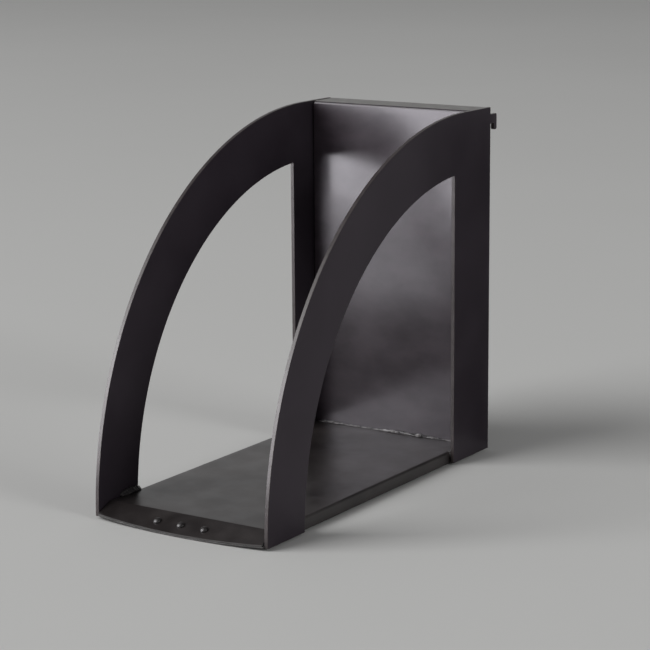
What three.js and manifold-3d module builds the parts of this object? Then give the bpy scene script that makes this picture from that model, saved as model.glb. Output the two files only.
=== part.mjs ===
// Wall rack for a slatted wall: two quarter-arch side frames, a folded back panel and a
// shallow shelf tray with a curved front lip. All sizes are millimetres.
//
// X runs along the wall, -Y points away from the wall and +Z is up. The origin is on the top
// of the back panel's upper flange, midway between the side frames, in the plane of the wall.
// Heights in this file are counted from the foot of the side frames; the outer group then
// lowers everything so that the origin is where it should be.

import * as THREE from "three";
import * as BufferGeometryUtils from "three/addons/utils/BufferGeometryUtils.js";
import Module from "manifold-3d";

// Driving dimensions of the whole rack.
const RACK_WIDTH = 123.5;
const RACK_HEIGHT = 224.5;
const RACK_DEPTH = 256.5;
const PLATE = 2.4; // side frame sheet
const SHEET = 1.2; // back panel and shelf sheet
const GAP = 0.3; // play between neighbouring pieces

// Side frames: two concentric arcs, with their centre level with the foot.
const REAR_STRIP = 45.5;
const ARCH_BAND = 38;
const ARCH_CENTRE_Y = RACK_HEIGHT - RACK_DEPTH;
const WINDOW_RADIUS = RACK_HEIGHT - ARCH_BAND;
const FRAME_INSIDE = RACK_WIDTH / 2 - PLATE;

// Hook at the back of each side frame, for a slat groove 10.3 mm high: the neck rests on the
// groove's lower lip and the tooth hangs down behind that lip.
const HOOK_SEAT_HEIGHT = 213.9;
const HOOK_NECK = 6;
const HOOK_SLOT = 4.6;
const HOOK_TOOTH = 3.6;
const HOOK_DROP = 4.2;
const HOOK_CORNER = 1;

// Back panel: a channel folded back towards the wall, closed by a flange at the top.
const PANEL_STANDOFF = 23.2;
const PANEL_WALL_GAP = 3;
const PANEL_BEND = 1.6;
const FLANGE_TOP_HEIGHT = 224.2;
const FLANGE_IN_GROOVE = 0.4;

// Shelf tray.
const SHELF_HEIGHT = 7.7;
const SHELF_BEND = 1.6;
const SHELF_SIDE_FLANGE = 7.7;
const SHELF_FLANGE_REAR = 46.5;
const SHELF_FLANGE_FRONT = 242.5;
const LIP_FOLD_DEPTH = 245.8;
const LIP_ANGLE = THREE.MathUtils.degToRad(22.5);
const LIP_LENGTH = 17.8; // along the slope, at mid width
const LIP_EDGE_RADIUS = 395;
const LIP_END_RELIEF = 0.8;
const LIP_FLOOR_OVERLAP = 20; // floor that is made in one piece with the fold
const TRIM_MARGIN = 5;

// Strip riveted behind the lip.
const STRIP_THICKNESS = 1;
const STRIP_START = 5;

// Rivets.
const RIVET_PITCH = 16.8;
const RIVET_DOWN_LIP = 10.2;
const RIVET_SHANK_RADIUS = 1.3;
const RIVET_HEAD_RADIUS = 2.5;
const RIVET_HEAD_HEIGHT = 1.7;
const RIVET_TAIL_RADIUS = 2.1;
const RIVET_TAIL_HEIGHT = 1.1;
const RIVET_DRILL_LENGTH = 12;

// Weld beads.
const BEAD_LEG = 2.2;
const FOOT_BEAD = { leg: 4.2, rear: 216.5, front: 236 };
const STRIP_BEAD = { leg: 2.8, rear: 27, front: 44 };
const REAR_BEAD_LEG = 1.8;
const BACK_BEAD_HALF = 56;
const REAR_STITCH_LENGTH = 20;
const REAR_STITCH_HEIGHTS = { lower: 34, middle: 112, upper: 190 };
const BEAD_FULLNESS = 0.72; // 0.5 is a flat face, 1 fills the square

const BIG_ARC_SEGMENTS = 32;
const SMALL_ARC_SEGMENTS = 4;
const DOME_STEPS = 6;
const ROUND_SIDES = 24;

const X = new THREE.Vector3(1, 0, 0);
const Y = new THREE.Vector3(0, 1, 0);
const Z = new THREE.Vector3(0, 0, 1);
const FORWARD = Y.clone().negate();
const DOWN = Z.clone().negate();
const LEFT = X.clone().negate();

const wasm = await Module();
wasm.setup();

// ---------------------------------------------------------------- solid helpers

function toSolid(geometry) {
  const bare = geometry.clone();
  bare.deleteAttribute("normal");
  bare.deleteAttribute("uv");
  const merged = BufferGeometryUtils.mergeVertices(bare, 1e-4);
  return new wasm.Manifold(
    new wasm.Mesh({
      numProp: 3,
      vertProperties: new Float32Array(merged.attributes.position.array),
      triVerts: new Uint32Array(merged.index.array),
    }),
  );
}

function toGeometry(solid) {
  const mesh = solid.getMesh();
  const geometry = new THREE.BufferGeometry();
  geometry.setAttribute("position", new THREE.BufferAttribute(mesh.vertProperties, 3));
  geometry.setIndex(new THREE.BufferAttribute(mesh.triVerts, 1));
  geometry.computeVertexNormals();
  return geometry;
}

// Extrudes a shape drawn on the axes u and v, from the given corner, along u x v.
function prism(shape, length, corner, u, v, segments = SMALL_ARC_SEGMENTS) {
  const settings = { depth: length, bevelEnabled: false, curveSegments: segments };
  const geometry = new THREE.ExtrudeGeometry(shape, settings);
  const w = new THREE.Vector3().crossVectors(u, v);
  const placing = new THREE.Matrix4().makeBasis(u, v, w).setPosition(corner);
  return geometry.applyMatrix4(placing);
}

function block(low, high) {
  const size = high.clone().sub(low);
  const middle = low.clone().add(high).multiplyScalar(0.5);
  return new THREE.BoxGeometry(size.x, size.y, size.z).translate(middle.x, middle.y, middle.z);
}

// Section of a channel: its web lies on v = 0 and both flanges reach up to v = depth.
function channelSection(halfWidth, depth, thickness, bend) {
  const inner = bend - thickness;
  const straight = halfWidth - bend;
  const section = new THREE.Shape();
  section.moveTo(-halfWidth, depth);
  section.lineTo(-halfWidth, bend);
  section.absarc(-straight, bend, bend, Math.PI, 1.5 * Math.PI, false);
  section.lineTo(straight, 0);
  section.absarc(straight, bend, bend, 1.5 * Math.PI, 2 * Math.PI, false);
  section.lineTo(halfWidth, depth);
  section.lineTo(halfWidth - thickness, depth);
  section.lineTo(halfWidth - thickness, bend);
  section.absarc(straight, bend, inner, 2 * Math.PI, 1.5 * Math.PI, true);
  section.lineTo(-straight, thickness);
  section.absarc(-straight, bend, inner, 1.5 * Math.PI, Math.PI, true);
  section.lineTo(-halfWidth + thickness, depth);
  section.closePath();
  return section;
}

// Section of a sheet folded once. The outside runs along v = 0 towards +u and then turns
// down by the fold angle; the legs are measured to the sharp corner of the outside.
function foldSection(firstLeg, angle, secondLeg, thickness, bend) {
  const tangent = bend * Math.tan(angle / 2);
  const inner = bend - thickness;
  const centreU = firstLeg - tangent;
  const along = { u: Math.cos(angle), v: -Math.sin(angle) };
  const endU = firstLeg + along.u * secondLeg;
  const endV = along.v * secondLeg;
  const section = new THREE.Shape();
  section.moveTo(0, 0);
  section.lineTo(centreU, 0);
  section.absarc(centreU, -bend, bend, Math.PI / 2, Math.PI / 2 - angle, true);
  section.lineTo(endU, endV);
  section.lineTo(endU + along.v * thickness, endV - along.u * thickness);
  section.absarc(centreU, -bend, inner, Math.PI / 2 - angle, Math.PI / 2, false);
  section.lineTo(0, -thickness);
  section.closePath();
  return section;
}

// ---------------------------------------------------------------- side frames

function sideFrameOutline() {
  const windowStart = Math.acos((-REAR_STRIP - ARCH_CENTRE_Y) / WINDOW_RADIUS);
  const hookBack = HOOK_SLOT + HOOK_TOOTH;
  const hookTop = HOOK_SEAT_HEIGHT + HOOK_NECK;
  const hookFoot = HOOK_SEAT_HEIGHT - HOOK_DROP;
  const outline = new THREE.Shape();
  outline.moveTo(0, 0);
  outline.lineTo(0, HOOK_SEAT_HEIGHT);
  outline.lineTo(HOOK_SLOT, HOOK_SEAT_HEIGHT);
  outline.lineTo(HOOK_SLOT, hookFoot + HOOK_CORNER);
  outline.lineTo(HOOK_SLOT + HOOK_CORNER, hookFoot);
  outline.lineTo(hookBack - HOOK_CORNER, hookFoot);
  outline.lineTo(hookBack, hookFoot + HOOK_CORNER);
  outline.lineTo(hookBack, hookTop - HOOK_CORNER);
  outline.lineTo(hookBack - HOOK_CORNER, hookTop);
  outline.lineTo(0, hookTop);
  outline.lineTo(0, RACK_HEIGHT);
  outline.lineTo(ARCH_CENTRE_Y, RACK_HEIGHT);
  outline.absarc(ARCH_CENTRE_Y, 0, RACK_HEIGHT, Math.PI / 2, Math.PI, false);
  outline.lineTo(ARCH_CENTRE_Y - WINDOW_RADIUS, 0);
  outline.absarc(ARCH_CENTRE_Y, 0, WINDOW_RADIUS, Math.PI, windowStart, true);
  outline.lineTo(-REAR_STRIP, 0);
  outline.closePath();
  return outline;
}

function sideFrame(innerX) {
  const corner = new THREE.Vector3(innerX, 0, 0);
  return prism(sideFrameOutline(), PLATE, corner, Y, Z, BIG_ARC_SEGMENTS);
}

// ---------------------------------------------------------------- back panel

function backPanel() {
  const half = FRAME_INSIDE - GAP;
  const channelDepth = PANEL_STANDOFF - PANEL_WALL_GAP;
  const channelTop = FLANGE_TOP_HEIGHT - PANEL_BEND;
  const channel = prism(
    channelSection(half, channelDepth, SHEET, PANEL_BEND),
    channelTop,
    new THREE.Vector3(0, -PANEL_STANDOFF, 0),
    X,
    Y,
  );

  // The upper flange is folded back from the web, between notches at the two corners.
  const flangeReach = PANEL_STANDOFF + FLANGE_IN_GROOVE;
  const foldHalf = half - PANEL_BEND;
  const webStart = channelTop - 2 * PANEL_BEND;
  const fold = prism(
    foldSection(FLANGE_TOP_HEIGHT - webStart, Math.PI / 2, flangeReach, SHEET, PANEL_BEND),
    2 * foldHalf,
    new THREE.Vector3(-foldHalf, -PANEL_STANDOFF, webStart),
    Z,
    FORWARD,
  );
  const flange = block(
    new THREE.Vector3(-half, -PANEL_STANDOFF + 2 * PANEL_BEND, FLANGE_TOP_HEIGHT - SHEET),
    new THREE.Vector3(half, FLANGE_IN_GROOVE, FLANGE_TOP_HEIGHT),
  );
  return toGeometry(toSolid(channel).add(toSolid(fold)).add(toSolid(flange)));
}

// ---------------------------------------------------------------- shelf tray and its lip

const lipCorner = new THREE.Vector3(0, -LIP_FOLD_DEPTH, SHELF_HEIGHT);
const lipSlope = new THREE.Vector3(0, -Math.cos(LIP_ANGLE), -Math.sin(LIP_ANGLE));
const lipNormal = new THREE.Vector3(0, -Math.sin(LIP_ANGLE), Math.cos(LIP_ANGLE));

function onLip(x, down, depth) {
  const point = lipCorner.clone().addScaledVector(lipSlope, down);
  return point.addScaledVector(lipNormal, -depth).addScaledVector(X, x);
}

// Outline in the lip's own plane, X across and down the slope, ending in the curved edge.
function lipOutline(halfWidth, start) {
  const centre = LIP_LENGTH - LIP_EDGE_RADIUS;
  const reach = Math.asin(halfWidth / LIP_EDGE_RADIUS);
  const outline = new THREE.Shape();
  outline.moveTo(-halfWidth, start);
  outline.lineTo(halfWidth, start);
  outline.absarc(0, centre, LIP_EDGE_RADIUS, Math.PI / 2 - reach, Math.PI / 2 + reach, false);
  outline.closePath();
  return outline;
}

function rivetHoles() {
  const radius = RIVET_SHANK_RADIUS + GAP;
  const holes = rivetPlaces().map((x) => {
    const drill = new THREE.CylinderGeometry(radius, radius, RIVET_DRILL_LENGTH, ROUND_SIDES);
    return toSolid(placeOnLip(drill, x));
  });
  return wasm.Manifold.union(holes);
}

function rivetPlaces() {
  return [-RIVET_PITCH, 0, RIVET_PITCH];
}

// Stands a shape made about its own Y axis on the lip, at a rivet's place.
function placeOnLip(geometry, x) {
  const placing = new THREE.Matrix4().makeBasis(lipSlope, lipNormal, LEFT);
  return geometry.applyMatrix4(placing.setPosition(onLip(x, RIVET_DOWN_LIP, 0)));
}

function shelfTray() {
  const half = FRAME_INSIDE - GAP;
  const middle = prism(
    channelSection(half, SHELF_SIDE_FLANGE, SHEET, SHELF_BEND),
    SHELF_FLANGE_FRONT - SHELF_FLANGE_REAR,
    new THREE.Vector3(0, -SHELF_FLANGE_FRONT, SHELF_HEIGHT),
    X,
    DOWN,
  );
  const rear = block(
    new THREE.Vector3(-half, -SHELF_FLANGE_REAR, SHELF_HEIGHT - SHEET),
    new THREE.Vector3(half, -PANEL_STANDOFF - GAP, SHELF_HEIGHT),
  );

  // The floor runs on to the fold, and the lip beyond it is trimmed to its curved edge.
  const lipHalf = FRAME_INSIDE - LIP_END_RELIEF;
  const front = prism(
    foldSection(LIP_FLOOR_OVERLAP, LIP_ANGLE, LIP_LENGTH + TRIM_MARGIN, SHEET, SHELF_BEND),
    2 * lipHalf,
    new THREE.Vector3(lipHalf, LIP_FLOOR_OVERLAP - LIP_FOLD_DEPTH, SHELF_HEIGHT),
    FORWARD,
    Z,
  );
  const trimReach = LIP_FLOOR_OVERLAP + TRIM_MARGIN;
  const trim = prism(
    lipOutline(lipHalf + TRIM_MARGIN, -trimReach),
    2 * trimReach,
    onLip(0, 0, -trimReach),
    X,
    lipSlope,
    BIG_ARC_SEGMENTS,
  );
  const trimmed = toSolid(front).intersect(toSolid(trim));
  const tray = toSolid(middle).add(toSolid(rear)).add(trimmed);
  return toGeometry(tray.subtract(rivetHoles()));
}

function lipBackingStrip() {
  const strip = prism(
    lipOutline(FRAME_INSIDE - GAP, STRIP_START),
    STRIP_THICKNESS,
    onLip(0, 0, SHEET + GAP),
    X,
    lipSlope,
    BIG_ARC_SEGMENTS,
  );
  return toGeometry(toSolid(strip).subtract(rivetHoles()));
}

function rivet(x) {
  const under = -(SHEET + STRIP_THICKNESS + 2 * GAP);
  const profile = [
    new THREE.Vector2(0, under - RIVET_TAIL_HEIGHT),
    new THREE.Vector2(RIVET_TAIL_RADIUS * 0.75, under - RIVET_TAIL_HEIGHT),
    new THREE.Vector2(RIVET_TAIL_RADIUS, under - RIVET_TAIL_HEIGHT / 2),
    new THREE.Vector2(RIVET_TAIL_RADIUS, under),
    new THREE.Vector2(RIVET_SHANK_RADIUS, under),
    new THREE.Vector2(RIVET_SHANK_RADIUS, GAP),
  ];
  for (let step = 0; step < DOME_STEPS; step += 1) {
    const turn = (step / DOME_STEPS) * (Math.PI / 2);
    const height = GAP + RIVET_HEAD_HEIGHT * Math.sin(turn);
    profile.push(new THREE.Vector2(RIVET_HEAD_RADIUS * Math.cos(turn), height));
  }
  profile.push(new THREE.Vector2(0, GAP + RIVET_HEAD_HEIGHT));
  return placeOnLip(new THREE.LatheGeometry(profile, ROUND_SIDES), x);
}

// ---------------------------------------------------------------- weld beads

// A bead in the corner between two faces that point along a and b. It runs along a x b.
function filletBead(leg, length, corner, a, b) {
  const section = new THREE.Shape();
  section.moveTo(GAP, GAP);
  section.lineTo(leg, GAP);
  const bulge = leg * BEAD_FULLNESS;
  section.quadraticCurveTo(bulge, bulge, GAP, leg);
  section.closePath();
  return prism(section, length, corner, a, b);
}

function shelfBackBead() {
  const corner = new THREE.Vector3(BACK_BEAD_HALF, -PANEL_STANDOFF, SHELF_HEIGHT);
  return filletBead(BEAD_LEG, 2 * BACK_BEAD_HALF, corner, FORWARD, Z);
}

// Beads along the shelf's long edges, against the inside of a side frame.
function shelfSideBead(side, place) {
  const length = place.front - place.rear;
  const start = side > 0 ? -place.front : -place.rear;
  const corner = new THREE.Vector3(side * FRAME_INSIDE, start, SHELF_HEIGHT);
  return filletBead(place.leg, length, corner, side > 0 ? LEFT : X, Z);
}

// Short beads that hold the back panel's side flanges, on the side that faces the wall.
function rearStitch(side, height) {
  const base = side > 0 ? height + REAR_STITCH_LENGTH : height;
  const corner = new THREE.Vector3(side * FRAME_INSIDE, -PANEL_WALL_GAP, base);
  return filletBead(REAR_BEAD_LEG, REAR_STITCH_LENGTH, corner, side > 0 ? LEFT : X, Y);
}

// ---------------------------------------------------------------- materials and assembly

function satin(color, roughness) {
  return new THREE.MeshStandardMaterial({ color, roughness, metalness: 0.3 });
}

const frameBlack = satin(0x2b292b, 0.38);
const panelBlack = satin(0x4a484a, 0.3);
const shelfBlack = satin(0x3a3838, 0.34);
const stripBlack = satin(0x2f2e2e, 0.45);
const rivetBlack = satin(0x323031, 0.25);
const beadBlack = satin(0x454345, 0.42);

const rack = new THREE.Group();
rack.position.z = -FLANGE_TOP_HEIGHT;

function addPiece(name, geometry, material) {
  const mesh = new THREE.Mesh(geometry, material);
  mesh.name = name;
  rack.add(mesh);
}

addPiece("back_panel", backPanel(), panelBlack);
addPiece("shelf_tray", shelfTray(), shelfBlack);
addPiece("lip_backing_strip", lipBackingStrip(), stripBlack);
addPiece("shelf_back_weld", shelfBackBead(), beadBlack);

for (const [index, name] of ["left", "centre", "right"].entries()) {
  addPiece(`lip_rivet_${name}`, rivet(rivetPlaces()[index]), rivetBlack);
}

for (const [name, side] of [["left", -1], ["right", 1]]) {
  const innerX = side > 0 ? FRAME_INSIDE : -FRAME_INSIDE - PLATE;
  addPiece(`${name}_side_frame`, sideFrame(innerX), frameBlack);
  addPiece(`${name}_foot_weld`, shelfSideBead(side, FOOT_BEAD), beadBlack);
  addPiece(`${name}_strip_weld`, shelfSideBead(side, STRIP_BEAD), beadBlack);
  for (const [place, height] of Object.entries(REAR_STITCH_HEIGHTS)) {
    addPiece(`${name}_rear_stitch_${place}`, rearStitch(side, height), beadBlack);
  }
}

const group = new THREE.Group();
group.add(rack);

export default group;
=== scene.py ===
import math

import bmesh
import bpy
from mathutils import Matrix, Quaternion, Vector, noise


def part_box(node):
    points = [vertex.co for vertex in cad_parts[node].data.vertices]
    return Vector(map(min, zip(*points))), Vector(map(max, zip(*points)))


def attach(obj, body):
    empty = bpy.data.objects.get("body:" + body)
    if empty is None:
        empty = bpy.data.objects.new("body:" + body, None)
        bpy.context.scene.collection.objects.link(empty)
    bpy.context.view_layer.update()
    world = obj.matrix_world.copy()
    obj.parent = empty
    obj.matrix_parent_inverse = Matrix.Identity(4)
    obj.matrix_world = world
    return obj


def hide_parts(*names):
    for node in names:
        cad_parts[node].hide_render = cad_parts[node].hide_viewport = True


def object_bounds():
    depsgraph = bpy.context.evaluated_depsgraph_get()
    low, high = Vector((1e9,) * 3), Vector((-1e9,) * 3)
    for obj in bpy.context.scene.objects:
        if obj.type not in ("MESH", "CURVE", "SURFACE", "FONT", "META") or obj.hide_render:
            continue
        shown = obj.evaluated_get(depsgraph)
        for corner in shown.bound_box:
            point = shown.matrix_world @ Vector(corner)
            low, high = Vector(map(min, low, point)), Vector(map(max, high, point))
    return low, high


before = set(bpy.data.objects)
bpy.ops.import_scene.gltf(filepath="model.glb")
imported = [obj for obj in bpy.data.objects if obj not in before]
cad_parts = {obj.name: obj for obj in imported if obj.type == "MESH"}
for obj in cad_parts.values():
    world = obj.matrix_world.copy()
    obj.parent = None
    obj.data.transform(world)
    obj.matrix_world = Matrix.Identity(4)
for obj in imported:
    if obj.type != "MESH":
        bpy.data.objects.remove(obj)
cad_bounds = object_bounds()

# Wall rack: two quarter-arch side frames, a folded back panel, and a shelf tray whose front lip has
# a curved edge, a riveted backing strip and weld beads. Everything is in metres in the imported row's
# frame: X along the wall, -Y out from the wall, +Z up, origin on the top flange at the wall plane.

MM = 0.001

# ------------------------------------------------------------------ sizes read from the frame

frame_low, frame_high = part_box("right_side_frame")
panel_low, panel_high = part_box("back_panel")
tray_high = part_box("shelf_tray")[1]

PLATE = frame_high.x - frame_low.x
FRAME_INSIDE = frame_low.x
FRAME_FOOT = frame_low.z
FRAME_TOP = frame_high.z
FRAME_FRONT = frame_low.y
HOOK_BACK = frame_high.y
SHEET_HALF = panel_high.x
PANEL_FRONT = panel_low.y
PANEL_FOOT = panel_low.z
FLANGE_TOP = panel_high.z
FLANGE_REAR = panel_high.y
SHELF_TOP = tray_high.z
SHELF_REAR = tray_high.y

# ------------------------------------------------------------------ sizes shared with the design

SHEET = 1.2 * MM
GAP = 0.3 * MM

REAR_STRIP = 45.5 * MM
ARCH_BAND = 38 * MM
HOOK_SLOT = 4.6 * MM
HOOK_SEAT = FRAME_FOOT + 213.9 * MM
HOOK_NECK = 6 * MM
HOOK_DROP = 4.2 * MM
HOOK_CORNER = 1 * MM

PANEL_BEND = 1.6 * MM
PANEL_WALL_GAP = 3 * MM

SHELF_BEND = 1.6 * MM
SIDE_FLANGE = 7.7 * MM
FLANGE_REAR_END = -46.5 * MM
FLANGE_FRONT_END = -242.5 * MM
BEND_RELIEF = 0.8 * MM

LIP_FOLD = -245.8 * MM
LIP_ANGLE = math.radians(22.5)
LIP_LENGTH = 17.8 * MM
LIP_EDGE_RADIUS = 395 * MM
LIP_HALF = FRAME_INSIDE - 0.8 * MM
STRIP_START = 5 * MM
STRIP_THICKNESS = 1 * MM

RIVET_DOWN_LIP = 10.2 * MM
RIVET_HOLE_RADIUS = 1.6 * MM
RIVET_SHANK_RADIUS = 1.3 * MM
RIVET_HEAD_RADIUS = 2.5 * MM
RIVET_HEAD_HEIGHT = 2 * MM
RIVET_TAIL_RADIUS = 2.1 * MM
RIVET_TAIL_HEIGHT = 1.1 * MM

EDGE_ROUND = 0.22 * MM
CORNER_ROUND = 0.5 * MM
PANEL_WAVE = 0.16 * MM
SHELF_WAVE = 0.12 * MM
SWELLS_ACROSS = 16  # per metre
SWELLS_ALONG = 11

BEAD_STEP = 0.28 * MM
BEAD_FACETS = 9
FINE_RIPPLE = 1.9 * MM
COARSE_RIPPLE = 2.4 * MM

# ------------------------------------------------------------------ camera and light

CAMERA_PLACE = Vector((0.7360, -1.2327, 0.1567))
CAMERA_AZIMUTH = math.radians(33.03)
CAMERA_ELEVATION = math.radians(11.99)
CAMERA_ROLL = math.radians(-0.435)
CAMERA_LENS = 121.94
SENSOR_WIDTH = 36
FLOOR_SIZE = 60

SHADE_GAP = 4 * MM
SHADE_WIDTH = 50 * MM
SHADE_BEHIND_WALL = 12 * MM
GLOSS_CARD_COLOUR = (0.975, 0.96, 1.0)


# ------------------------------------------------------------------ mesh helpers


def object_from(bm, name, slots=1):
    """Turns a bmesh into a smooth-shaded object with empty material slots, and frees it."""
    mesh = bpy.data.meshes.new(name)
    bm.to_mesh(mesh)
    bm.free()
    for _ in range(slots):
        mesh.materials.append(None)
    mesh.polygons.foreach_set("use_smooth", [True] * len(mesh.polygons))
    piece = bpy.data.objects.new(name, mesh)
    bpy.context.scene.collection.objects.link(piece)
    return piece


def bake_modifiers(piece):
    """Replaces the piece's mesh by the one that its modifiers give."""
    bpy.context.view_layer.update()
    graph = bpy.context.evaluated_depsgraph_get()
    baked = bpy.data.meshes.new_from_object(piece.evaluated_get(graph), depsgraph=graph)
    piece.modifiers.clear()
    piece.data = baked
    return piece


def add_edge_round(piece):
    """Rounds the sharp edges. The rounded faces take the piece's second material."""
    rounding = piece.modifiers.new("Rounded edges", "BEVEL")
    rounding.width = EDGE_ROUND
    rounding.segments = 3
    rounding.limit_method = "ANGLE"
    rounding.angle_limit = math.radians(40)
    rounding.harden_normals = True
    rounding.material = 1


def add_patch(bm, rows, slot=0):
    """Adds a grid of quads through rows of points. Its outside is along column x row."""
    grid = [[bm.verts.new(point) for point in row] for row in rows]
    for lower, upper in zip(grid, grid[1:]):
        for k in range(len(lower) - 1):
            face = bm.faces.new((lower[k], lower[k + 1], upper[k + 1], upper[k]))
            face.material_index = slot


def spread(start, end, count):
    """count + 1 evenly spaced values from start to end."""
    return [start + (end - start) * k / count for k in range(count + 1)]


def folded_sheet(name, patches, thickness, cutters=(), lit_patches=()):
    """A sheet whose outer face is the patches joined where they meet, thickened inwards.

    The lit patches take the second material, as the cut edges do. That material is a lighter
    copy of the sheet's coat, with painted light on those faces.
    """
    bm = bmesh.new()
    for rows in patches:
        add_patch(bm, rows)
    for rows in lit_patches:
        add_patch(bm, rows, 1)
    bmesh.ops.remove_doubles(bm, verts=bm.verts, dist=0.001 * MM)
    piece = object_from(bm, name, slots=2)
    thicken = piece.modifiers.new("Sheet thickness", "SOLIDIFY")
    thicken.thickness = thickness
    thicken.offset = -1
    thicken.use_even_offset = True
    thicken.material_offset_rim = 1
    for cutter in cutters:
        hole = piece.modifiers.new("Hole", "BOOLEAN")
        hole.operation = "DIFFERENCE"
        hole.solver = "EXACT"
        hole.object = cutter
    add_edge_round(piece)
    return bake_modifiers(piece)


def round_corner(before, corner, after, radius, steps=5):
    """Points on the arc that rounds off a corner of an outline."""
    to_before = (before - corner).normalized()
    to_after = (after - corner).normalized()
    half = to_before.angle(to_after) / 2
    reach = radius / math.tan(half)
    middle = corner + (to_before + to_after).normalized() * (radius / math.sin(half))
    first = corner + to_before * reach - middle
    last = corner + to_after * reach - middle
    points = []
    for t in spread(0, 1, steps):
        arm = first.lerp(last, t)
        points.append(middle + arm.normalized() * radius)
    return points


def arc(centre, radius, start, end, count):
    angles = spread(start, end, count)
    return [centre + Vector((math.cos(a), math.sin(a))) * radius for a in angles]


# ------------------------------------------------------------------ side frames


def side_frame_outline():
    """The plate's outline in (Y, Z), with small round corners."""
    radius = FRAME_TOP - FRAME_FOOT
    window = radius - ARCH_BAND
    centre = Vector((FRAME_FRONT + radius, FRAME_FOOT))
    strip_front = -REAR_STRIP
    window_start = math.acos((strip_front - centre.x) / window)
    outer = arc(centre, radius, math.pi / 2, math.pi, 120)
    inner = arc(centre, window, math.pi, window_start, 100)
    hook_foot = HOOK_SEAT - HOOK_DROP
    hook_top = HOOK_SEAT + HOOK_NECK
    plain = [
        (0, FRAME_FOOT, CORNER_ROUND),
        (0, HOOK_SEAT, CORNER_ROUND),
        (HOOK_SLOT, HOOK_SEAT, CORNER_ROUND),
        (HOOK_SLOT, hook_foot, HOOK_CORNER),
        (HOOK_BACK, hook_foot, HOOK_CORNER),
        (HOOK_BACK, hook_top, HOOK_CORNER),
        (0, hook_top, CORNER_ROUND),
        (0, FRAME_TOP, CORNER_ROUND),
        (*outer[0], 0),
        (*outer[-1], CORNER_ROUND),
        (*inner[0], CORNER_ROUND),
        (*inner[-1], CORNER_ROUND),
        (strip_front, FRAME_FOOT, CORNER_ROUND),
    ]
    places = [Vector((y, z)) for y, z, _ in plain]
    neighbours = {8: outer[1:-2], 10: inner[2:-2]}
    before_corner = {9: outer[-2], 11: inner[-2]}
    after_corner = {10: inner[1]}
    points = []
    for k, (_, _, corner_radius) in enumerate(plain):
        here = places[k]
        if corner_radius:
            before = before_corner.get(k, places[k - 1])
            after = after_corner.get(k, places[(k + 1) % len(places)])
            points += round_corner(before, here, after, corner_radius)
        else:
            points.append(here)
        points += neighbours.get(k, [])
    return points


def side_frame(name, x_low, x_high):
    outline = side_frame_outline()
    bm = bmesh.new()
    near = [bm.verts.new((x_high, y, z)) for y, z in outline]
    far = [bm.verts.new((x_low, y, z)) for y, z in outline]
    bm.faces.new(near)
    bm.faces.new(list(reversed(far)))
    for k in range(len(outline)):
        follow = (k + 1) % len(outline)
        bm.faces.new((near[k], far[k], far[follow], near[follow])).material_index = 1
    bmesh.ops.recalc_face_normals(bm, faces=bm.faces)
    piece = object_from(bm, name, slots=2)
    add_edge_round(piece)
    return bake_modifiers(piece)


# ------------------------------------------------------------------ folded sheets


def channel_path(half, depth, bend, web_columns):
    """(across, back) pairs along a channel's outside, from one flange's edge to the other's."""
    straight = half - bend
    left = [(-half, back) for back in spread(depth, bend, 3)]
    turns = spread(0, math.pi / 2, 10)
    left_arc = [(-straight - bend * math.cos(t), bend - bend * math.sin(t)) for t in turns[1:]]
    web = [(across, 0) for across in spread(-straight, straight, web_columns)][1:-1]
    left_side = left + left_arc
    right_side = [(-across, back) for across, back in reversed(left_side)]
    return left_side + web + right_side


def wave(across, along, half, low, high, size, seed):
    """Slight unevenness of a flat sheet: 0 at its borders and up to size inside them."""
    u = (across / half) ** 2
    v = (2 * (along - low) / (high - low) - 1) ** 2
    fade = max(0, 1 - u) * max(0, 1 - v * v)
    swell = 0.5 + 0.5 * noise.noise(Vector((across * SWELLS_ACROSS, along * SWELLS_ALONG, seed)))
    return size * fade * min(1, max(0, swell))


def back_panel(name):
    straight = SHEET_HALF - PANEL_BEND
    channel_top = FLANGE_TOP - PANEL_BEND
    channel_depth = -PANEL_WALL_GAP - PANEL_FRONT
    web_columns = 30

    def web_y(x, z):
        return PANEL_FRONT + wave(x, z, straight, PANEL_FOOT, channel_top, PANEL_WAVE, 3.1)

    channel = []
    for z in spread(PANEL_FOOT, channel_top, 48):
        row = []
        for across, back in channel_path(SHEET_HALF, channel_depth, PANEL_BEND, web_columns):
            y = web_y(across, z) if back == 0 else PANEL_FRONT + back
            row.append(Vector((across, y, z)))
        channel.append(row)

    columns = spread(-straight, straight, web_columns)
    fold = []
    for t in spread(0, math.pi / 2, 12):
        y = PANEL_FRONT + PANEL_BEND * (1 - math.cos(t))
        z = channel_top + PANEL_BEND * math.sin(t)
        fold.append([Vector((x, y, z)) for x in columns])
    notch_end = PANEL_FRONT + 2 * PANEL_BEND
    flange_rows = spread(notch_end, FLANGE_REAR, 6)
    flange = [[fold[-1]] + [[Vector((x, y, FLANGE_TOP)) for x in columns] for y in flange_rows]]
    for ends in ((-SHEET_HALF, -straight), (straight, SHEET_HALF)):
        flange.append([[Vector((x, y, FLANGE_TOP)) for x in ends] for y in flange_rows])
    return folded_sheet(name, [channel, fold], SHEET, lit_patches=flange)


def on_lip(x, down, depth=0.0):
    """A point of the lip: down its slope from the fold, and below its upper face."""
    y = LIP_FOLD - down * math.cos(LIP_ANGLE) + depth * math.sin(LIP_ANGLE)
    z = SHELF_TOP - down * math.sin(LIP_ANGLE) - depth * math.cos(LIP_ANGLE)
    return Vector((x, y, z))


def lip_length_at(x):
    return LIP_LENGTH - LIP_EDGE_RADIUS + math.sqrt(LIP_EDGE_RADIUS**2 - x * x)


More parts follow.
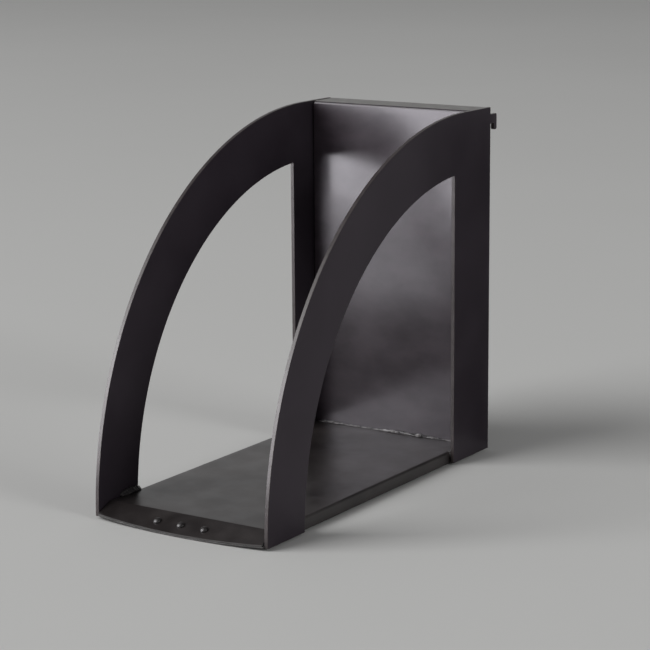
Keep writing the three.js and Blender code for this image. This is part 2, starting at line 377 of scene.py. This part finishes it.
def front_rows(columns, floor_start):
    """Rows of the tray's front from the lip's curved edge up over the fold to the floor."""
    tangent = SHELF_BEND * math.tan(LIP_ANGLE / 2)
    rows = []
    for share in spread(1, 0, 8):
        row = []
        for x in columns:
            down = tangent + share * (lip_length_at(x) - tangent)
            row.append(on_lip(x, down))
        rows.append(row)
    for turn in spread(LIP_ANGLE, 0, 6)[1:]:
        y = LIP_FOLD + tangent - SHELF_BEND * math.sin(turn)
        z = SHELF_TOP - SHELF_BEND * (1 - math.cos(turn))
        rows.append([Vector((x, y, z)) for x in columns])
    rows.append([Vector((x, floor_start, SHELF_TOP)) for x in columns])
    return rows


def shelf_tray(name, cutters):
    straight = SHEET_HALF - SHELF_BEND
    web_columns = 30
    columns = spread(-straight, straight, web_columns)

    def floor_z(x, y):
        low, high = FLANGE_FRONT_END, FLANGE_REAR_END
        return SHELF_TOP - wave(x, y, straight, low, high, SHELF_WAVE, 8.4)

    channel = []
    for y in spread(FLANGE_FRONT_END, FLANGE_REAR_END, 40):
        row = []
        for across, back in channel_path(SHEET_HALF, SIDE_FLANGE, SHELF_BEND, web_columns):
            z = floor_z(across, y) if back == 0 else SHELF_TOP - back
            row.append(Vector((across, y, z)))
        channel.append(row)

    rear_relief = FLANGE_REAR_END + BEND_RELIEF
    front_relief = FLANGE_FRONT_END - BEND_RELIEF
    rear_rows = [FLANGE_REAR_END] + spread(rear_relief, SHELF_REAR, 4)
    rear = [[Vector((x, y, SHELF_TOP)) for x in columns] for y in rear_rows]
    front = front_rows(columns, front_relief)
    joining = [front[-1], [Vector((x, FLANGE_FRONT_END, SHELF_TOP)) for x in columns]]
    patches = [channel, rear, front, joining]
    for side in (-1, 1):
        rear_ends = sorted((side * straight, side * SHEET_HALF))
        front_ends = sorted((side * straight, side * LIP_HALF))
        patches.append([[Vector((x, y, SHELF_TOP)) for x in rear_ends] for y in rear_rows[1:]])
        patches.append(front_rows(front_ends, front_relief))
    return folded_sheet(name, patches, SHEET, cutters)


def backing_strip(name, cutters):
    columns = spread(-SHEET_HALF, SHEET_HALF, 36)
    rows = []
    for share in spread(1, 0, 4):
        row = []
        for x in columns:
            down = STRIP_START + share * (lip_length_at(x) - STRIP_START)
            row.append(on_lip(x, down, SHEET + GAP))
        rows.append(row)
    return folded_sheet(name, [rows], STRIP_THICKNESS, cutters)


# ------------------------------------------------------------------ rivets


def lathe(name, profile, sides=48):
    """A closed body turned from (radius, height) pairs that start and end on the axis."""
    bm = bmesh.new()
    rings = []
    for radius, height in profile:
        if radius == 0:
            rings.append([bm.verts.new((0, 0, height))])
            continue
        angles = [2 * math.pi * k / sides for k in range(sides)]
        rings.append([
            bm.verts.new((radius * math.cos(a), radius * math.sin(a), height)) for a in angles
        ])
    for lower, upper in zip(rings, rings[1:]):
        for k in range(sides):
            follow = (k + 1) % sides
            corners = [lower[k % len(lower)], lower[follow % len(lower)]]
            corners += [upper[follow % len(upper)], upper[k % len(upper)]]
            bm.faces.new(list(dict.fromkeys(corners)))
    bmesh.ops.recalc_face_normals(bm, faces=bm.faces)
    return object_from(bm, name)


def stand_on_lip(piece, x):
    """Moves a piece made about +Z on to the lip, at a rivet's place."""
    across = Vector((1, 0, 0))
    normal = Vector((0, -math.sin(LIP_ANGLE), math.cos(LIP_ANGLE)))
    turn = Matrix((across, normal.cross(across), normal)).transposed().to_4x4()
    place = Matrix.Translation(on_lip(x, RIVET_DOWN_LIP))
    piece.data.transform(place @ turn)
    return piece


def rivet(name, x):
    under = -(SHEET + STRIP_THICKNESS + 2 * GAP)
    tail_end = under - RIVET_TAIL_HEIGHT
    rim = 0.25 * MM
    profile = [
        (0, tail_end),
        (RIVET_TAIL_RADIUS * 0.7, tail_end),
        (RIVET_TAIL_RADIUS * 0.93, tail_end + RIVET_TAIL_HEIGHT * 0.2),
        (RIVET_TAIL_RADIUS, tail_end + RIVET_TAIL_HEIGHT * 0.5),
        (RIVET_TAIL_RADIUS * 0.95, under),
        (RIVET_SHANK_RADIUS, under),
        (RIVET_SHANK_RADIUS, 0.03 * MM),
        (RIVET_HEAD_RADIUS - 0.1 * MM, 0.03 * MM),
        (RIVET_HEAD_RADIUS, 0.12 * MM),
    ]
    for turn in spread(0, math.pi / 2, 12):
        radius = RIVET_HEAD_RADIUS * math.cos(turn)
        height = rim + (RIVET_HEAD_HEIGHT - rim) * math.sin(turn)
        profile.append((radius if turn < math.pi / 2 else 0, height))
    return stand_on_lip(lathe(name, profile), x)


def rivet_drill(x):
    reach = 8 * MM
    profile = [(0, -reach), (RIVET_HOLE_RADIUS, -reach), (RIVET_HOLE_RADIUS, reach), (0, reach)]
    return stand_on_lip(lathe("drill", profile, 32), x)


# ------------------------------------------------------------------ weld beads


def weld_bead(name, corner, out_a, out_b, along, leg, length, seed, pitch=FINE_RIPPLE,
              rough=0.3):
    """An uneven rippled fillet weld in the corner between two faces.

    out_a and out_b point away from the corner along each face, and the bead runs along its own
    direction for length, starting at the corner point.
    """
    steps = max(12, round(length / BEAD_STEP))
    bm = bmesh.new()
    rings = []
    for step in range(steps + 1):
        run = length * step / steps
        end_distance = min(run, length - run)
        taper = min(1.0, 0.25 + (end_distance / (1.6 * leg)) ** 0.6)
        ring = [bm.verts.new(corner + along * run)]
        for share in spread(0, 1, BEAD_FACETS):
            crescent = run + 0.55 * pitch * math.sin(math.pi * share)
            ripple = 0.5 + 0.5 * math.cos(2 * math.pi * crescent / pitch)
            lump = noise.noise(Vector((run * 260, share * 1.4, seed)))
            broad = noise.noise(Vector((run * 70, seed, 4.7)))
            size = 1 - rough * (0.55 - 0.5 * broad - 0.5 * lump) - 0.10 * (1 - ripple)
            reach = leg * taper * min(1.0, max(0.35, size))
            angle = share * math.pi / 2
            fullness = 0.80 + 0.20 * abs(math.cos(2 * angle))
            arm = out_a * math.cos(angle) + out_b * math.sin(angle)
            ring.append(bm.verts.new(corner + along * run + arm * (reach * fullness)))
        rings.append(ring)
    count = len(rings[0])
    for near, far in zip(rings, rings[1:]):
        for k in range(count):
            follow = (k + 1) % count
            bm.faces.new((near[k], near[follow], far[follow], far[k]))
    bm.faces.new(rings[0])
    bm.faces.new(list(reversed(rings[-1])))
    bmesh.ops.recalc_face_normals(bm, faces=bm.faces)
    return object_from(bm, name)


def shelf_back_weld(name):
    low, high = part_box("shelf_back_weld")
    corner = Vector((low.x, high.y + GAP, low.z - GAP))
    leg = high.z - low.z
    return weld_bead(name, corner, Vector((0, -1, 0)), Vector((0, 0, 1)), Vector((1, 0, 0)),
                     leg, high.x - low.x, 1.3, rough=0.85)


def shelf_side_weld(name, node, side, seed):
    low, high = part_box(node)
    outer_x = high.x if side > 0 else low.x
    corner = Vector((outer_x + side * GAP, low.y, low.z - GAP))
    leg = high.z - low.z + GAP
    return weld_bead(name, corner, Vector((-side, 0, 0)), Vector((0, 0, 1)), Vector((0, 1, 0)),
                     leg, high.y - low.y, seed, pitch=COARSE_RIPPLE, rough=0.5)


def rear_stitch(name, node, side, seed):
    low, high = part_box(node)
    outer_x = high.x if side > 0 else low.x
    corner = Vector((outer_x + side * GAP, low.y - GAP, low.z))
    leg = high.y - low.y + GAP
    return weld_bead(name, corner, Vector((-side, 0, 0)), Vector((0, 1, 0)), Vector((0, 0, 1)),
                     leg, high.z - low.z, seed)


# ------------------------------------------------------------------ materials


class Graph:
    """Short forms for building a material's node tree."""

    def __init__(self, name):
        self.material = bpy.data.materials.new(name)
        self.material.use_nodes = True
        self.tree = self.material.node_tree
        self.shader = self.tree.nodes["Principled BSDF"]

    def node(self, kind, settings=None, **inputs):
        made = self.tree.nodes.new(kind)
        for key, value in (settings or {}).items():
            setattr(made, key, value)
        for key, value in inputs.items():
            self.feed(made.inputs[key.replace("_", " ")], value)
        return made

    def feed(self, socket, value):
        if isinstance(value, bpy.types.NodeSocket):
            self.tree.links.new(value, socket)
        else:
            socket.default_value = value

    def place(self, stretch=(1, 1, 1)):
        """Object coordinates in metres, which is the row's frame, stretched along the axes."""
        source = self.node("ShaderNodeTexCoord").outputs["Object"]
        return self.node("ShaderNodeMapping", Vector=source, Scale=stretch).outputs["Vector"]

    def noise(self, size, detail, roughness, stretch=(1, 1, 1)):
        made = self.node(
            "ShaderNodeTexNoise",
            Vector=self.place(stretch),
            Scale=1 / size,
            Detail=detail,
            Roughness=roughness,
        )
        return made.outputs["Fac"]

    def between(self, value, low, high, start=0.2, end=0.8):
        """Maps value from start..end smoothly to low..high, and holds it there."""
        names = {"From Min": start, "From Max": end, "To Min": low, "To Max": high}
        made = self.node("ShaderNodeMapRange", {"interpolation_type": "SMOOTHSTEP"}, Value=value)
        for key, number in names.items():
            made.inputs[key].default_value = number
        return made.outputs["Result"]

    def distance(self, point):
        made = self.node("ShaderNodeVectorMath", {"operation": "DISTANCE"})
        self.feed(made.inputs[0], self.place())
        self.feed(made.inputs[1], point)
        return made.outputs["Value"]

    def mix_colour(self, share, first, second):
        made = self.node("ShaderNodeMix", {"data_type": "RGBA"})
        self.feed(made.inputs["Factor"], share)
        self.feed(made.inputs["A"], (*first, 1))
        self.feed(made.inputs["B"], (*second, 1))
        return made.outputs["Result"]

    def mix_value(self, share, first, second):
        made = self.node("ShaderNodeMix", {"data_type": "FLOAT"})
        self.feed(made.inputs["Factor"], share)
        self.feed(made.inputs["A"], first)
        self.feed(made.inputs["B"], second)
        return made.outputs["Result"]

    def bump(self, height, distance):
        return self.node("ShaderNodeBump", Height=height, Distance=distance).outputs["Normal"]

    def set(self, **inputs):
        for key, value in inputs.items():
            self.feed(self.shader.inputs[key.replace("_", " ")], value)


def coated_black(name, dark, light, rough, specular, cloud=45 * MM, peel=0.01 * MM, tint=1.0,
                 blur=0.3, detail=3):
    """Satin black coat over steel: cloudy colour and gloss under a fine peel.

    The tint is the share of green that the reflections keep. A small blur gives patches with
    clear borders instead of soft clouds.
    """
    graph = Graph(name)
    colour_cloud = graph.noise(cloud, detail, 0.5)
    gloss_cloud = graph.noise(cloud * 0.5, detail, 0.5)
    graph.set(
        Base_Color=graph.mix_colour(
            graph.between(colour_cloud, 0, 1, 0.5 - blur, 0.5 + blur), dark, light),
        Roughness=graph.between(gloss_cloud, rough[0], rough[1]),
        Normal=graph.bump(graph.noise(2.2 * MM, 2, 0.5), peel),
        Specular_IOR_Level=specular,
        Specular_Tint=(1, tint, 1, 1),
    )
    return graph.material


def panel_coat():
    """The back panel's coat, over steel with a vertical grain that spreads reflections sideways.

    Near its upper left corner is a rubbed patch, with its grain along the wall.
    """
    graph = Graph("Panel coat")
    colour_cloud = graph.noise(24 * MM, 4, 0.5, (0.8, 1, 1.3))
    gloss_cloud = graph.noise(26 * MM, 4, 0.55, (0.8, 1, 1.2))
    streaks = graph.noise(2.4 * MM, 3, 0.6, (1, 1, 0.02))
    corner = graph.distance(Vector((-0.6 * SHEET_HALF, PANEL_FRONT, FLANGE_TOP + 4 * MM)))
    patch = graph.between(corner, 1, 0, 6 * MM, 50 * MM)
    sideways = graph.node("ShaderNodeTangent", {"direction_type": "RADIAL", "axis": "Z"})
    graph.set(
        Base_Color=graph.mix_colour(graph.between(colour_cloud, 0, 1), (0.021, 0.015, 0.020),
                                    (0.050, 0.040, 0.048)),
        Roughness=graph.mix_value(patch, graph.between(gloss_cloud, 0.165, 0.255), 0.27),
        Anisotropic=0.7,
        Anisotropic_Rotation=graph.mix_value(patch, 0, 0.25),
        Tangent=sideways.outputs["Tangent"],
        Normal=graph.bump(streaks, 0.008 * MM),
        Specular_IOR_Level=0.5,
        Specular_Tint=(0.985, 0.97, 1, 1),
    )
    return graph.material


def make_materials():
    return {
        "frame": coated_black("Frame coat", (0.0235, 0.0185, 0.0240), (0.0360, 0.0295, 0.0368),
                              (0.30, 0.38), 0.24, tint=0.84),
        "frame_edge": coated_black("Frame cut edge", (0.028, 0.0215, 0.022), (0.060, 0.049, 0.050),
                                   (0.32, 0.42), 0.42, cloud=9 * MM),
        "panel": panel_coat(),
        # The top flange and the panel's cut edges take a lighter, warmer copy of the panel coat:
        # painted light where the flange faces the light from above.
        "panel_edge_lit": coated_black("Panel flange lit coat", (0.030, 0.024, 0.020),
                                   (0.054, 0.046, 0.040), (0.30, 0.38), 0.7, cloud=12 * MM),
        "shelf": coated_black("Shelf coat", (0.009, 0.007, 0.007), (0.036, 0.031, 0.030),
                              (0.285, 0.38), 0.45, cloud=28 * MM, peel=0.014 * MM, tint=0.97,
                              detail=5),
        # The tray's and strip's cut edges take a much lighter grey than their coat: a painted
        # highlight for the light their arrises catch.
        "shelf_edge_highlight": coated_black("Shelf cut edge highlight", (0.070, 0.066, 0.066),
                                   (0.120, 0.115, 0.114), (0.28, 0.40), 0.55, cloud=9 * MM),
        "strip": coated_black("Strip coat", (0.014, 0.013, 0.013), (0.020, 0.019, 0.019),
                              (0.40, 0.50), 0.45),
        "rivet": coated_black("Rivet coat", (0.012, 0.010, 0.010), (0.018, 0.016, 0.016),
                              (0.38, 0.46), 0.5, cloud=3 * MM),
        "weld": coated_black("Weld coat", (0.010, 0.009, 0.009), (0.036, 0.032, 0.033),
                             (0.34, 0.50), 0.4, cloud=3 * MM, peel=0.03 * MM),
        # The shelf weld's sharp light patches are painted glints: bright dashes along the bead where
        # it would catch the light.
        "seam_glints": coated_black("Shelf weld coat glints", (0.012, 0.010, 0.011), (0.160, 0.152, 0.155),
                             (0.32, 0.48), 0.42, cloud=6 * MM, peel=0.02 * MM, blur=0.07),
    }


def floor_material():
    graph = Graph("Pale studio floor")
    tone = graph.noise(0.9, 3, 0.5)
    graph.set(
        Base_Color=graph.mix_colour(tone, (0.57, 0.57, 0.56), (0.61, 0.61, 0.60)),
        Roughness=graph.between(graph.noise(0.3, 3, 0.5), 0.80, 0.92),
        Specular_IOR_Level=0,
    )
    return graph.material


# ------------------------------------------------------------------ assembly


def finish_piece(piece, node, slot, *materials):
    for slot_index, material in enumerate(materials):
        piece.data.materials[slot_index] = material
    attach(piece, "root")
    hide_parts(node)


def build_rack(look):
    rivet_nodes = ["lip_rivet_left", "lip_rivet_centre", "lip_rivet_right"]
    rivet_x = {node: sum(corner.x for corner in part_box(node)) / 2 for node in rivet_nodes}
    drills = [rivet_drill(x) for x in rivet_x.values()]

    finish_piece(back_panel("panel_sheet"), "back_panel", "panel_black",
                 look["panel"], look["panel_edge_lit"])
    finish_piece(shelf_tray("tray_sheet", drills), "shelf_tray", "shelf_black",
                 look["shelf"], look["shelf_edge_highlight"])
    finish_piece(backing_strip("strip_sheet", drills), "lip_backing_strip", "strip_black",
                 look["strip"], look["shelf_edge_highlight"])
    for drill in drills:
        bpy.data.objects.remove(drill)

    for node, x in rivet_x.items():
        finish_piece(rivet(f"{node}_body", x), node, "rivet_black", look["rivet"])
    finish_piece(shelf_back_weld("shelf_back_weld_bead"), "shelf_back_weld", "weld_black",
                 look["seam_glints"])

    for name, side in (("left", -1), ("right", 1)):
        node = f"{name}_side_frame"
        low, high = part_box(node)
        finish_piece(side_frame(f"{name}_frame_plate", low.x, high.x), node, "frame_black",
                     look["frame"], look["frame_edge"])
        for place in ("foot", "strip"):
            node = f"{name}_{place}_weld"
            bead = shelf_side_weld(f"{node}_bead", node, side, 2.1 + side + len(place))
            finish_piece(bead, node, "weld_black", look["weld"])
        for place in ("lower", "middle", "upper"):
            node = f"{name}_rear_stitch_{place}"
            bead = rear_stitch(f"{node}_bead", node, side, 5.3 + side + len(place))
            finish_piece(bead, node, "weld_black", look["weld"])


# ------------------------------------------------------------------ stage, light and camera


def add_floor(height):
    bm = bmesh.new()
    add_patch(bm, [[Vector((x, y, height)) for x in spread(-FLOOR_SIZE / 2, FLOOR_SIZE / 2, 8)]
                   for y in spread(-FLOOR_SIZE / 2, FLOOR_SIZE / 2, 8)])
    floor = object_from(bm, "studio_floor")
    floor.data.materials[0] = floor_material()


def add_shade():
    """A dark card beside the rack's rear edge, where the wall would be in the rack's own shade.

    It is seen only in reflections.
    """
    bm = bmesh.new()
    near = FRAME_INSIDE + PLATE + SHADE_GAP
    add_patch(bm, [[Vector((x, SHADE_BEHIND_WALL, z)) for x in (near, near + SHADE_WIDTH)]
                   for z in (FRAME_FOOT, FRAME_TOP)])
    card = object_from(bm, "shade_card")
    graph = Graph("Shade card")
    graph.set(Base_Color=(0.15, 0.15, 0.15, 1), Roughness=0.9, Specular_IOR_Level=0)
    card.data.materials[0] = graph.material
    card.visible_camera = False
    card.visible_diffuse = False
    card.visible_shadow = False


def add_softbox(name, place, target, width, height, radiance, only_gloss=False):
    """A rectangular area light of the given radiance, hidden from the camera itself."""
    light = bpy.data.lights.new(name, "AREA")
    if only_gloss:
        light.color = GLOSS_CARD_COLOUR
    light.shape = "RECTANGLE"
    light.size = width
    light.size_y = height
    light.energy = radiance * math.pi * width * height
    lamp = bpy.data.objects.new(name, light)
    bpy.context.scene.collection.objects.link(lamp)
    lamp.location = place
    lamp.rotation_mode = "QUATERNION"
    lamp.rotation_quaternion = (Vector(target) - Vector(place)).to_track_quat("-Z", "Y")
    lamp.visible_camera = False
    lamp.visible_diffuse = not only_gloss


def add_world():
    """A dim studio room: light near the horizon, darker overhead and towards +X."""
    world = bpy.data.worlds.new("Studio room")
    bpy.context.scene.world = world
    world.use_nodes = True
    tree = world.node_tree
    source = tree.nodes.new("ShaderNodeTexCoord")
    split = tree.nodes.new("ShaderNodeSeparateXYZ")
    ramp = tree.nodes.new("ShaderNodeValToRGB")
    side = tree.nodes.new("ShaderNodeMapRange")
    tree.links.new(source.outputs["Generated"], split.inputs["Vector"])
    tree.links.new(split.outputs["Z"], ramp.inputs["Fac"])
    tree.links.new(split.outputs["X"], side.inputs["Value"])
    tree.links.new(ramp.outputs["Color"], tree.nodes["Background"].inputs["Color"])
    tree.links.new(side.outputs["Result"], tree.nodes["Background"].inputs["Strength"])
    for key, number in (("From Min", -1), ("From Max", 1), ("To Min", 1.3), ("To Max", 0.35)):
        side.inputs[key].default_value = number
    stops = ramp.color_ramp.elements
    stops[0].position = 0.0
    stops[0].color = (0.55, 0.55, 0.55, 1)
    stops[1].position = 1.0
    stops[1].color = (0.16, 0.16, 0.165, 1)
    for height, level in ((0.3, 0.48), (0.55, 0.22)):
        stops.new(height).color = (level, level, level, 1)


def add_lights():
    middle = Vector((0, -0.12, -0.11))
    add_softbox("Key softbox", (-4.6, -5.8, 5.5), middle, 6.6, 6.6, 4.9)
    add_softbox("Fill softbox", (4.2, -0.5, 1.6), middle, 1.5, 1.5, 6.5)
    card = Vector((-0.40, -0.65, FRAME_FOOT + 0.25))
    facing = Vector((0, -0.03, card.z))
    add_softbox("Front gloss card", card, facing, 0.60, 0.42, 8.3, True)
    side = Vector((-0.26, -0.67, FRAME_FOOT + 0.055))
    facing = Vector((0.02, -0.03, side.z))
    add_softbox("Side gloss card", side, facing, 0.13, 0.10, 7, True)
    low = Vector((-0.33, -0.52, FRAME_FOOT + 0.004))
    above = low + Vector((0, 0, 1))
    add_softbox("Low gloss card", low, above, 0.24, 0.24, 3.3, True)


def add_camera():
    camera = bpy.data.cameras.new("Camera")
    camera.lens = CAMERA_LENS
    camera.sensor_width = SENSOR_WIDTH
    camera.clip_start = 0.01
    camera.clip_end = 200
    eye = bpy.data.objects.new("Camera", camera)
    bpy.context.scene.collection.objects.link(eye)
    level = math.cos(CAMERA_ELEVATION)
    look = Vector((
        -math.sin(CAMERA_AZIMUTH) * level,
        math.cos(CAMERA_AZIMUTH) * level,
        -math.sin(CAMERA_ELEVATION),
    ))
    eye.location = CAMERA_PLACE
    eye.rotation_mode = "QUATERNION"
    roll = Quaternion((0, 0, 1), CAMERA_ROLL)
    eye.rotation_quaternion = look.to_track_quat("-Z", "Y") @ roll
    bpy.context.scene.camera = eye


add_camera()
build_rack(make_materials())
add_floor(cad_bounds[0].z)
add_shade()
add_world()
add_lights()
bpy.context.scene.view_settings.view_transform = "Standard"
